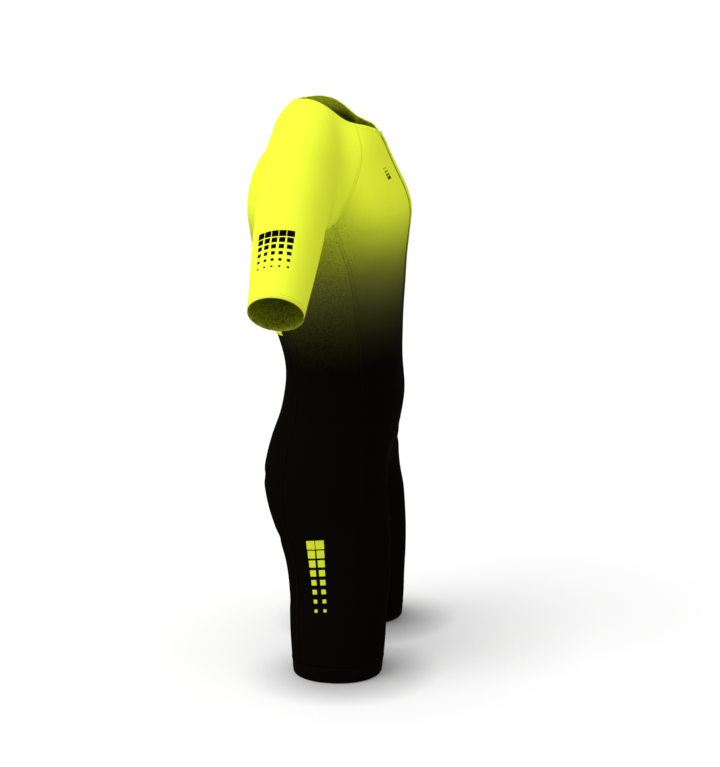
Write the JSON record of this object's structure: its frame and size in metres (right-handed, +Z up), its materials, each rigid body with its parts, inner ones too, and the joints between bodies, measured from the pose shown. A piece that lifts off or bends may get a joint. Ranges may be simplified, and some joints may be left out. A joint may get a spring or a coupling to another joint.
{
  "type": "triathlon suit",
  "caption": "Short-sleeved one-piece triathlon suit with raglan sleeves, knee-length legs, a front zip and a rear pocket, in its hollow worn form.",
  "frame": {"origin": "middle of the neck opening on the level of the shoulder line, where the wearer's shoulders carry the suit", "axes": "+Z up, -Y to the wearer's front, -X to the wearer's right arm"},
  "size_m": [0.7834, 0.2615, 0.9188],
  "materials": {
    "body_cloth": "fine warp knit, printed yellow at the chest fading to black at the hips, matt with a soft sheen",
    "sleeve_cloth": "fine warp knit, printed yellow, matt with a soft sheen",
    "band_cloth": "black elastic knit band, matt",
    "pocket_cloth": "fine warp knit, printed yellow, matt with a soft sheen",
    "zip_tape_cloth": "woven zip tape, dull yellow, matt",
    "zip_coil_plastic": "dark moulded coil",
    "slider_paint": "yellow enamel, satin"
  },
  "bodies": {
    "suit": {"front_right": "body_cloth", "front_left": "body_cloth", "side_right": "body_cloth", "side_left": "body_cloth", "back_right": "body_cloth", "back_left": "body_cloth", "sleeve_right": "sleeve_cloth", "sleeve_left": "sleeve_cloth", "leg_band_right": "band_cloth", "leg_band_left": "band_cloth", "zip_coil": "zip_coil_plastic", "zip_tape": "zip_tape_cloth", "rear_pocket": "pocket_cloth", "zip_slider": "slider_paint"},
    "pull_tab": {"pull_tab": "slider_paint"}
  },
  "joints": [
    {"name": "pull_tab_hinge", "type": "hinge", "parent": "suit", "child": "pull_tab", "pos_m": [0, -0.07718, -0.01515], "axis": [-1, 0, 0], "range_deg": [0, 150]}
  ]
}
